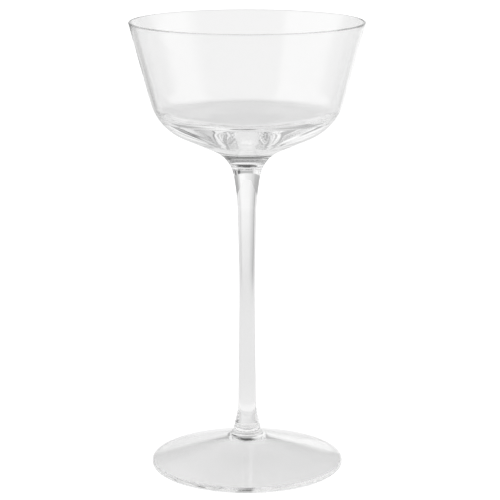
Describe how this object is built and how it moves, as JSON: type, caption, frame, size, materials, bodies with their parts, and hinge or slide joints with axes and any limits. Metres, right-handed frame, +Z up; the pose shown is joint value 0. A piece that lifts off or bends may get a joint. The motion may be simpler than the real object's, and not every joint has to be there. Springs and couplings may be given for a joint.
{
  "type": "nick and nora glass",
  "caption": "Small stemmed cocktail glass in clear glass: thin leaning-sided bowl with a thick base, slim drawn stem and low coned foot, fused end to end.",
  "frame": {"origin": "on the table under the axis of the stem, at the plane of the foot's resting ring", "axes": "+Z up along the axis of the stem, from the foot to the rim"},
  "size_m": [0.0914, 0.0914, 0.178],
  "materials": {
    "clear_glass": "clear, fire-polished"
  },
  "bodies": {
    "root": {"bowl": "clear_glass", "stem": "clear_glass", "foot": "clear_glass"}
  },
  "joints": []
}
